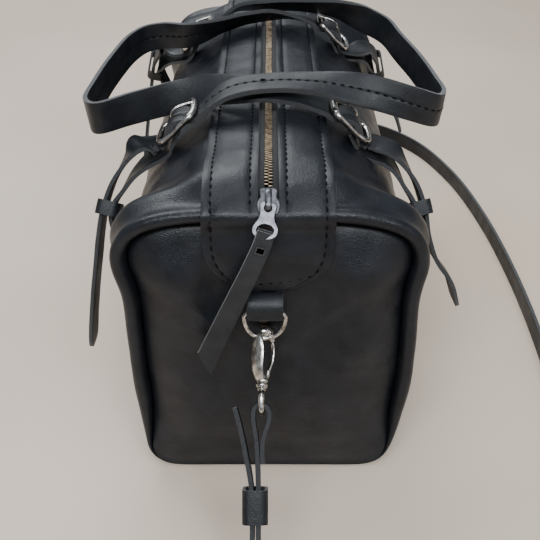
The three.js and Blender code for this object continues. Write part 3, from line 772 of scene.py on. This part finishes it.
def zip_slider():
    place = slider_frame()
    shape = [(-4.9, 7), (4.9, 7), (5.0, 1.2), (6.7, -1.8), (6.8, -6.2), (5.6, -9.4), (3.6, -10.2),
             (-3.6, -10.2), (-5.6, -9.4), (-6.8, -6.2), (-6.7, -1.8), (-5.0, 1.2)]
    edge = round_line(shape)
    top = plate("slider_top", GUNMETAL, [edge], 1.7, place @ Matrix.Translation((0, 0, 2.7)))
    under = plate("slider_under", GUNMETAL, [edge], 1.7, place @ Matrix.Translation((0, 0, -2.8)))
    up = tuple(place.to_3x3() @ Vector((1, 0, 0)))
    arch = [(0, 6.6, 2.6, 2.2, 1.0), (0, 6.2, 4.8, 2.2, 1.0), (0, 4.0, 6.6, 2.2, 0.9),
            (0, -1.5, 7.6, 2.1, 0.8), (0, -6.2, 7.2, 2.0, 0.8), (0, -8.2, 5.2, 1.8, 0.8),
            (0, -8.4, 3, 1.8, 0.8)]
    bridge = tube("slider_bridge", GUNMETAL, placed(place, arch), 1, "zip_slider", 0.6, hint=up)
    post = tube("slider_post", GUNMETAL, placed(place, [(0, 5.6, -3), (0, 5.6, 3)]), 1.3,
                "zip_slider", 0.6, hint=up)
    wings = []
    for side in (-1, 1):
        rail = [(side * 5.8, -8.6, 1.7), (side * 6.3, -5, 1.5), (side * 6.0, -1.2, 1.5),
                (side * 4.9, 1.4, 1.6)]
        wings.append(tube(f"slider_wing_{side}", GUNMETAL, placed(place, rail), 0.8,
                          "zip_slider", 0.6, hint=up))
    made = merge("zip_slider_metal", [top, under, bridge, post, *wings])
    stand_in(made, "zip_slider", "zip_slider")


def zip_puller():
    place = puller_frame()
    edge = round_line([(-4.7, 1.6), (0, 2.2), (4.7, 1.6), (4.9, -1.6), (4.4, -5), (5.2, -9.4),
                       (7.7, -14.2), (7.4, -18.2), (4.2, -20.8), (0, -21.6), (-4.2, -20.8),
                       (-7.4, -18.2), (-7.7, -14.2), (-5.2, -9.4), (-4.4, -5), (-4.9, -1.6)])
    eye = round_line([(-2.5, 0.2), (2.5, 0.2), (2.6, -2.6), (0, -4.4), (-2.6, -2.6)])
    ring = round_line([(0, -11.6), (3.6, -12.4), (5.7, -15), (5.2, -18), (0, -19.9), (-5.2, -18),
                       (-5.7, -15), (-3.6, -12.4)])
    made = plate("zip_puller_metal", GUNMETAL, [edge, eye, ring], 1.7, place, 0.55)
    stand_in(made, "zip_puller", "zip_puller")


PULL = [(-1.5, -233.2, 238.4), (-4.2, -236.6, 231), (-11.2, -239, 214), (-22.5, -240.6, 188),
        (-34.5, -241.5, 160), (-47, -242, 130)]


def pull_tab():
    facing = (0.9, 0.05, -0.42)

    def shape(s, long):
        return 0.78 + 0.27 * s / long
    made, centre, across, normal = ribbon("pull_tab_leather", [(*p, *facing) for p in PULL], 15,
                                          2.4, "zip_puller", TAB, 1.5, shape=shape, wobble=0)
    slant_end(made, centre, across, 15)
    back = [(x + 0.3, y + 2.6, z) for x, y, z in PULL[:3]]
    fold, *_ = ribbon("pull_tab_fold", [(*p, *facing) for p in back], 11, 1.8, "zip_puller", TAB,
                      1.5)
    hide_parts("pull_tab")
    slit_in(made, centre, across, normal)


def slant_end(made, centre, across, reach):
    """Cuts the free end of a strap off at a slant."""
    end, tip = centre[-1] * MM, unit(centre[-1] - centre[-2])
    side = across[-1]
    for v in made.data.vertices:
        d = np.array(v.co) - end
        back = -(d @ tip)
        if back < reach * MM:
            v.co -= Vector(tip * ((1 - back / (reach * MM)) * (-1.05 * (d @ side) + 5.0 * MM)))


def slit_in(made, centre, across, normal):
    """The slot that the end of the pull was threaded through, with its raised lip; its opening is a
    near-black face of painted shade.
    """
    at = 8
    p, w, n = centre[at], across[at], normal[at]
    t = unit(centre[at + 1] - centre[at - 1])
    sign = -1 if n[1] > 0 else 1
    corners = [p + sign * n * 2.2 + w * a + t * b for a, b in
               ((-3.3, -2.7), (3.3, -2.7), (3.3, 2.7), (-3.3, 2.7))]
    inner = [p + sign * n * 1.85 + w * a + t * b for a, b in
             ((-2.4, -1.8), (2.4, -1.8), (2.4, 1.8), (-2.4, 1.8))]
    faces = grid_faces(2, 4) + [(4, 5, 6, 7)]
    # the inner face takes the painted-shade material in place of a real opening
    slot = make("pull_tab_slot", corners + inner, faces, EDGE, SHADE, which=[0, 0, 0, 0, 1])
    slot.modifiers.new("soft", "BEVEL").width = 0.2 * MM
    settle(slot)
    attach(slot, "zip_puller")


# ---- handles, buckles, anchor straps, keepers and tails ------------------------------------------
HANDLE = {"wide": 25, "thick": 3.8}
BUCKLE = {"half_long": 17.2, "half_wide": 14.7, "slope": math.radians(40.4)}
BUCKLE_AT = {"left": (-70, 101.5, 253), "right": (62.5, 101.5, 254)}
IN_BUCKLE = [(-20, -4.8), (-15.5, -4.5), (-8.5, 0.4), (-2, 3.2), (4, 2.6), (9.5, -0.6),
             (15.5, -4.6), (20.5, -4.8)]
LOOPS = {
    "left": [(-30, -99, 277.5, 0, 1, 0.12), (0, -95, 281.5, 0, 1, 0.1),
             (35, -95, 281, 0, 0.96, 0.25), (75, -100, 276.5, 0, 0.6, 0.8),
             (108, -103, 268, 0, 0.2, 1), (126, -98, 261, 0, 0, 1), (134, -80, 257, 0.1, 0, 1),
             (134, -45, 255, 0.1, 0, 1), (129, 5, 255, 0.1, 0, 1), (119, 55, 257, 0.1, 0, 1),
             (111, 88, 260, 0.1, 0, 1), (96, 104, 264, 0, 0, 1), (70, 103, 275, 0, -0.6, 0.8),
             (35, 97, 281, 0, -0.8, 0.6), (0, 95, 281.5, 0, -0.83, 0.56),
             (-30, 99, 277.5, 0, -0.9, 0.4)],
    "right": [(24, -96, 270.5, 0, 1, 0.12), (0, -91.5, 273.5, 0, 0.98, 0.2),
              (-22, -86, 272, 0, 0.9, 0.4), (-46, -76.5, 268, 0, 0.7, 0.7),
              (-76, -73, 260, 0, 0.3, 1), (-106, -86, 257, 0, 0.1, 1), (-130, -99, 255, 0, 0, 1),
              (-140, -84, 252, -0.1, 0, 1), (-141, -40, 251, -0.1, 0, 1),
              (-136, 20, 251, -0.1, 0, 1), (-127, 64, 253, -0.1, 0, 1), (-116, 80, 255, 0, 0, 1),
              (-100, 83, 257, 0, -0.1, 1), (-76, 75, 260, 0, -0.3, 1),
              (-46, 76.5, 268, 0, -0.7, 0.7), (-22, 86, 272, 0, -0.8, 0.6),
              (0, 91.5, 273.5, 0, -0.83, 0.56), (24, 96, 270.5, 0, -0.92, 0.3)],
}
ANCHOR = {
    "left": [(-94, 113, 224), (-108, 132, 214), (-116.5, 146, 203), (-114, 152, 187),
             (-108, 154, 168), (-107, 154, 140)],
    "right": [(90.5, 114, 225.5), (102.5, 132, 214), (109.5, 146, 203), (109.5, 152, 187),
              (108, 154, 168), (107, 154, 140)],
}
TAIL = {
    "left": [(-100.5, 114, 236.5), (-115, 132, 221.5), (-122.5, 146, 205), (-126.5, 153, 188),
             (-134, 157, 150), (-141, 160, 112), (-145, 160, 84)],
    "right": [(96, 115, 233), (109, 132, 220), (115.5, 146, 205), (119, 152, 188),
              (128, 155, 165), (141, 157, 146), (149, 157, 124)],
}
KEEPER = {"left": (-119.3, 146.5, 203.5), "right": (112.6, 146.5, 203.5)}


def at_buckle(side, end):
    """A place in a buckle's own frame: u towards the bag's centre line, v along the bag, n out."""
    s, e, slope = SIDES[side], ENDS[end], BUCKLE["slope"]
    x, y, z = BUCKLE_AT[side]
    u = np.array([-s * math.cos(slope), 0, math.sin(slope)])
    n = np.array([s * math.sin(slope), 0, math.cos(slope)])
    return lambda du, dv, dn: np.array([x, e * y, z]) + u * du + n * dn + np.array([0, dv, 0])


def handle(side):
    rows = [(*at_buckle(side, "front")(u, 0, n), 0, 1, 0) for u, n in IN_BUCKLE]
    rows += LOOPS[side]
    rows += [(*at_buckle(side, "rear")(u, 0, n), 0, -1, 0) for u, n in reversed(IN_BUCKLE)]
    made, centre, across, normal = ribbon(f"handle_{side}_leather", rows, HANDLE["wide"],
                                          HANDLE["thick"], f"handle_{side}", grooves=(0,))
    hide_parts(f"handle_strap_{side}")
    s = lengths(centre)
    sewn = (s > 46) & (s < s[-1] - 46)
    face = centre[sewn] + normal[sewn] * (HANDLE["thick"] / 2 - 0.25)
    stitches(f"handle_{side}_stitches", face, normal[sewn], f"handle_{side}")
    if side == "left":
        hole(side, centre, across, normal, -5)


def hole(side, centre, across, normal, x):
    """A punched hole in the front crossing of a handle, as a dark disc of painted shade in a pressed rim.
    """
    front = np.flatnonzero(centre[:, 1] < -60)
    at = front[np.argmin(np.abs(centre[front, 0] - x) - 0.02 * centre[front, 2])]
    turn = np.linspace(0, 2 * math.pi, 20, endpoint=False)
    up, along = normal[at], np.cross(across[at], normal[at])
    rows = [(3.2, 0.1), (2.7, 0.75), (2.1, 0.7), (0.05, 0.66)]
    points = [centre[at] + up * (HANDLE["thick"] / 2 + rise) + r * (across[at] * math.cos(a)
              + along * math.sin(a)) for r, rise in rows for a in turn]
    # the inner disc takes the painted-shade material in place of a real opening
    which = np.repeat([0, 0, 1], len(turn)).astype(np.int32)
    made = make(f"handle_{side}_hole", points, grid_faces(4, 20), STRAP, SHADE, which=which)
    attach(made, f"handle_{side}")


def buckle(side, end):
    place = at_buckle(side, end)
    body = f"handle_{side}"
    out = tuple(place(0, 0, 1) - place(0, 0, 0))
    u, v = BUCKLE["half_long"], BUCKLE["half_wide"]
    half = [(u, v - 4, 0.4, 2.6, 2.8), (u - 2, v, 0.6, 2.7, 2.4), (u * 0.4, v + 1.1, 0.2, 2.2, 1.9),
            (-u * 0.3, v + 0.9, -1.0, 2.1, 1.8), (3 - u, v, -0.8, 2.5, 2.1),
            (-u, v - 3, -0.6, 2.4, 2.1)]
    corners = half[:1] + [(a, -b, *rest) for a, b, *rest in half] + half[:0:-1]
    frame_rows = [(*place(a, b, c), d, e) for a, b, c, d, e in corners]
    ring = tube("ring", NICKEL, frame_rows, 1.8, body, 0.9, True, out)
    bar = tube("bar", NICKEL, [place(-2, -v, -0.8), place(-2, 0, -1.6), place(-2, v, -0.8)], 1.3,
               body, hint=out)
    made = merge(f"buckle_{end}_{side}_metal", [ring, bar])
    stand_in(made, body, f"buckle_{end}_{side}")
    route = [(0.2, 5.6, 1.5, 1.2), (2.2, 7.8, 1.6, 1.1), (6, 8.4, 1.5, 1.0), (11, 7.0, 1.4, 1.0),
             (16, 4.8, 1.4, 0.9), (19.8, 3.0, 1.2, 0.7)]
    rows = [(*place(a, 0.12 * a, b), c, d) for a, b, c, d in route]
    pin = tube(f"prong_{end}_{side}_metal", NICKEL, rows, 1.2, f"prong_{end}_{side}", 0.7,
               hint=(0, 1, 0))
    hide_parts(f"prong_{end}_{side}")


def anchor_and_tail(side, end):
    e, body = ENDS[end], f"handle_{side}"
    place = at_buckle(side, end)
    lean = 0.25 * e
    rows = [(*place(a, 0, b), 0, 1, 0) for a, b in ((-4, -6), (-11, -8.8), (-19, -11.6))]
    rows += [(x, e * y, z, 0, 1, lean * (i > 0)) for i, (x, y, z) in enumerate(ANCHOR[side])]
    made, *_ = ribbon(f"anchor_{end}_{side}_leather", rows, 24, 3, grooves=(-8.5, 8.5))
    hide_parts(f"anchor_strap_{end}_{side}")
    bend = {"start": Vector(rows[5][:3]) * MM, "end": Vector(rows[0][:3]) * MM}
    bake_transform(made)
    rows = [(*place(-21, 0, -4.6), 0, 1, 0), (*place(-28.6, 0, 0), 0, 1, 0)]
    rows += [(x, e * y, z, 0, 1, lean * (i > 0)) for i, (x, y, z) in enumerate(TAIL[side])]

    def shape(s, long):
        left = long - s
        return 1 if left > 14 else 0.6 + 0.4 * math.sqrt(max(0.0, 1 - (1 - left / 14) ** 2))
    tail, *_ = ribbon(f"tail_{end}_{side}_leather", rows, 24, 3, shape=shape)
    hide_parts(f"handle_tail_{end}_{side}")
    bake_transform(tail)
    keeper(side, end)


def band(name, centre, along, across, half_across, half_normal, wide, thick):
    """A leather loop whose section runs round the straps it holds."""
    normal = np.cross(along, across)
    inner = rounded_rectangle(half_across, half_normal, min(3, half_normal * 0.8), 5)
    outer = rounded_rectangle(half_across + thick, half_normal + thick,
                              min(3, half_normal * 0.8) + thick, 5)
    points = []
    for (a, n), (oa, on) in zip(inner, outer):
        side = [(a, n, -0.5), (oa, on, -0.5), (oa, on, -0.46), (oa * 1.008, on * 1.008, 0),
                (oa, on, 0.46), (oa, on, 0.5), (a, n, 0.5)]
        points += [centre + across * x + normal * y + along * (wide * z) for x, y, z in side]
    which = np.tile([1, 0, 0, 0, 0, 1, 1], len(inner)).astype(np.int32)
    return make(name, points, grid_faces(len(inner), 7, True), STRAP, EDGE, sharp=38,
                which=which)


def keeper(side, end):
    e = ENDS[end]
    mirror = np.array([1, e, 1])
    anchor, tail = np.array(ANCHOR[side]) * mirror, np.array(TAIL[side]) * mirror
    along = unit(anchor[3] - anchor[1] + tail[3] - tail[1])
    across = np.array([0, 1, 0.25 * e])
    across = unit(across - along * (across @ along))
    made = band(f"keeper_{end}_{side}_leather", np.array(KEEPER[side]) * mirror, along, across,
                13.4, 6.6, 11, 2.0)
    stand_in(made, "bag", f"keeper_{end}_{side}")


# ---- D-rings, tabs, snap hooks and the shoulder strap --------------------------------------------
RING = {"x": -2.5, "y": 232.8, "z": 172.5, "half": 14, "drop": 20}
RING_LOW = {"y": 235.6, "z": 152.5}
HANG = math.radians(45.4)
TURN = math.radians(42)
SHOULDER = {"wide": 19, "thick": 3.6}


def along_hang(end, x=RING["x"]):
    """A place on the hook's line: s out and down along it, then right, then forward."""
    e = ENDS[end]
    out = np.array([0, e * math.cos(HANG), -math.sin(HANG)])
    front = np.array([0, e * math.sin(HANG), math.cos(HANG)])
    origin = np.array([x, e * RING_LOW["y"], RING_LOW["z"]])

    def drawn(s):
        return 0.78 * s if s < 45 else s - 9.9 * (1 - float(step_up(s, 62, 108)))
    return lambda s, right, forward: origin + out * drawn(s) + np.array([right, 0, 0]) + front * forward


def at_hook(end):
    place = along_hang(end)
    return lambda s, a, c=0.0: place(s, -0.05 * s + a * math.cos(TURN) + c * math.sin(TURN),
                                     -a * math.sin(TURN) + c * math.cos(TURN))


def ring_tab(end):
    e = ENDS[end]
    rows = [(226.5, 184.6), (230, 185.0), (234.0, 183.8), (237.2, 180.4), (238.0, 175),
            (236.6, 170.8), (233.2, 169.0), (227.2, 168.6)]
    line = smooth([(0, e * y, z) for y, z in rows], 1.0)
    rows = [(RING["x"], y, z, 1, 0, 0) for _, y, z in line[::3]]
    made, centre, across, normal = ribbon(f"ring_tab_{end}_leather", rows, 24.5, 2.8, "bag",
                                          step=1.0, wobble=0)
    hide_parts(f"ring_tab_{end}")
    rivet = [(0, 0), (2.2, 0.1), (3.0, -0.3), (3.3, -0.9), (3.3, -1.6)]
    turn = np.linspace(0, 2 * math.pi, 28, endpoint=False)
    points = [(RING["x"] - 1 + 1.35 * r * math.cos(a), e * (228.6 + h), 163.6 + r * math.sin(a))
              for r, h in rivet for a in turn]
    head = make(f"rivet_{end}_metal", points, grid_faces(len(rivet), len(turn)), BRASS)
    stand_in(head, "bag", f"tab_rivet_{end}")


def d_ring(end):
    e, half = ENDS[end], RING["half"]
    down = [(half - 2, 0), (half, -2.2), (half - 0.3, -8), (half * 0.76, -14.6),
            (half * 0.4, -18.6)]
    left = [(-x, z) for x, z in down]
    rows = [left[0], (0, 0), *down, (0, -20), *left[:0:-1]]
    lean = (RING_LOW["y"] - RING["y"]) / RING["drop"]
    rows = [(RING["x"] + x, e * (RING["y"] - lean * z), RING["z"] + z) for x, z in rows]
    made = tube(f"d_ring_{end}_metal", NICKEL, rows, 1.55, f"ring_{end}", 0.8, True, (0, 1, 0))
    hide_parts(f"d_ring_{end}")


def hook(end):
    at = at_hook(end)
    body = f"ring_{end}"
    broad = tuple(at(0, 0, 1) - at(0, 0, 0))
    rows = [(38, -0.5, 3.0, 2.2), (34.5, -2.8, 4.0, 2.2), (27, -5.2, 5.6, 2.0),
            (17, -5.9, 6.2, 1.9), (8, -6.0, 5.8, 1.9), (1.6, -6.2, 4.6, 2.1),
            (-3.2, -5, 2.6, 2.1), (-5.6, -0.6, 2.5, 2.3), (-4.2, 4.6, 2.2, 2.0),
            (1.6, 7.2, 1.7, 1.5)]
    frame_piece = tube("frame", BRUSHED, [(*at(s, a), b, c) for s, a, b, c in rows], 2, body, 0.8,
                       hint=broad)
    knob = tube("knob", NICKEL, [at(-6, -1.4), at(-6.8, 0.6), at(-6, 2.6)], 4.1, body, 0.6,
                hint=broad)
    root = tube("root", BRUSHED, [(*at(29, 4.6), 1.8, 1.3), (*at(33, 3.8), 2.4, 1.7),
                                  (*at(37, 1.2), 2.8, 2.4)], 2, body, 0.8, hint=broad)
    collar = [(34.6, 3.2), (35.4, 4.1), (37.2, 4.3), (38.2, 4.2), (38.7, 3.5), (39.1, 3.5),
              (39.6, 4.2), (43.2, 4.0), (44, 3.2)]
    collar = tube("collar", NICKEL, [(*at(s, 0), r, r) for s, r in collar], 4, body, 0.35,
                  hint=broad, sides=24)
    made = merge(f"hook_body_{end}_metal", [frame_piece, knob, root, collar])
    stand_in(made, body, f"hook_body_{end}")
    gate_rows = [(4.4, 7.4, 1.5, 1.1), (10, 8.3, 1.6, 1.0), (20, 7.9, 1.6, 1.0),
                 (29.2, 5.4, 1.6, 1.1)]
    gate = tube(f"hook_gate_{end}_metal", NICKEL, [(*at(s, a), b, c) for s, a, b, c in gate_rows],
                1.2, f"hook_gate_{end}", 0.8, hint=broad)
    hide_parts(f"hook_gate_{end}")
    place = along_hang(end, RING["x"] - 2.3)
    loop = [(*place(53.4 + s, 0, c), 2.1, 2.2) for s, c in rounded_rectangle(6.6, 10.5, 3.4, 3)]
    loop = tube("loop", NICKEL, loop, 1.5, f"hook_eye_{end}", 0.8, True, (1, 0, 0))
    stem = tube("stem", NICKEL, [at(43, 0), at(48.5, 0)], 2.5, f"hook_eye_{end}", 0.8, hint=broad)
    eye = merge(f"hook_eye_{end}_metal", [loop, stem])
    stand_in(eye, f"hook_eye_{end}", f"hook_eye_{end}")


def strap_chape(end):
    place = along_hang(end)
    facing = place(0, 0, 1) - place(0, 0, 0)
    rows = [(88, -1.4), (83, -1.7), (78, -1.6), (72, 0.2), (65, 2.8), (58.4, 2.4), (54.6, -2.3),
            (57.4, -7), (64, -7.8), (76, -5.8), (92, -4.5), (118, -4.2), (152, -4.2)]
    made, *_ = ribbon(f"strap_end_{end}_leather", [(*place(s, x, 0), *facing) for s, x in rows],
                      SHOULDER["wide"], 3.2, step=1.5, wobble=0.1)
    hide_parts(f"strap_end_{end}")
    Vector(place(84, 0, 0)) * MM
    Vector(place(62, 0, 0)) * MM
    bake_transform(made)
    return made


def strap_adjuster():
    """The keeper, the free end and the buckle that set the strap's length, at the front."""
    place = along_hang("front")
    facing = place(0, 0, 1) - place(0, 0, 0)
    rows = [(152, -9.4), (132, -8.4), (112, -8.3), (99, -9.2), (86, -12.2), (72, -16), (57, -20.4)]
    free, *_ = ribbon("strap_free_end_leather", [(*place(s, x, 0), *facing) for s, x in rows], 17.5,
                      3.2, "ring_front", step=1.5, wobble=0.1)
    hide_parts("strap_free_end")
    along = unit(place(1, 0, 0) - place(0, 0, 0))
    loop = band("strap_keeper_leather", place(112, -6.4, 0), along, np.array([1.0, 0, 0]), 6.6,
                10.2, 22, 2.0)
    stand_in(loop, "strap_keeper", "strap_keeper")
    outline_rows = [(*place(160 + s, -6.6, c), 1.6, 1.6)
                    for s, c in rounded_rectangle(10, 12, 3.4, 4)]
    ring = tube("ring", NICKEL, outline_rows, 1.6, "ring_front", 0.9, True, (1, 0, 0))
    bar = tube("bar", NICKEL, [place(160, -6.6, -12), place(160, -6.6, 12)], 1.3, "ring_front",
               hint=(1, 0, 0))
    made = merge("strap_buckle_metal", [ring, bar])
    stand_in(made, "ring_front", "strap_buckle")
    return [free, loop, made]


STRAP_RUN = [(-8, -360.5, 27), (-7, -382, 14), (0, -410, 10.2), (22, -438, 10.2),
             (66, -450, 10.2), (120, -438, 10.2), (176, -398, 10.2), (222, -328, 10.2),
             (250, -230, 10.2), (262, -110, 10.2), (266, 20, 10.2), (259, 150, 10.2),
             (240, 258, 10.2), (204, 346, 10.2), (150, 400, 10.2), (90, 416, 10.2),
             (36, 404, 12), (6, 372, 22), (-6.6, 341, 44.6)]


def shoulder_strap(pieces):
    last = len(STRAP_RUN) - 2
    rows = []
    for i, p in enumerate(STRAP_RUN):
        facing = (0, -0.6, 0.8) if i < 2 else (0, 0.6, 0.8) if i >= last else (0, 0, 1)
        rows.append((*p, *facing))
    made, centre, *_ = ribbon("shoulder_strap_leather", rows, SHOULDER["wide"], SHOULDER["thick"],
                              "bag", wobble=0)
    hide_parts("shoulder_strap")
    lengths(centre)[-1] * MM


FLOOR = 30000


def set_floor():
    made = make("floor", [(-FLOOR, -FLOOR, 0), (FLOOR, -FLOOR, 0), (FLOOR, FLOOR, 0), (-FLOOR, FLOOR, 0)],
                [(0, 1, 2, 3)], wood_floor())


set_camera()
chapes = [strap_chape(end) for end in ENDS]
shoulder_strap(chapes + strap_adjuster())
set_light()
set_floor()
body_shell()
top_strip()
for name, end in ENDS.items():
    end_panel(name, end)
    ring_tab(name)
    d_ring(name)
    hook(name)
for name, side in SIDES.items():
    zip_tape(name, side)
    zip_teeth(name, side)
    handle(name)
    for end_name in ENDS:
        buckle(name, end_name)
        anchor_and_tail(name, end_name)
zip_slider()
zip_puller()
pull_tab()
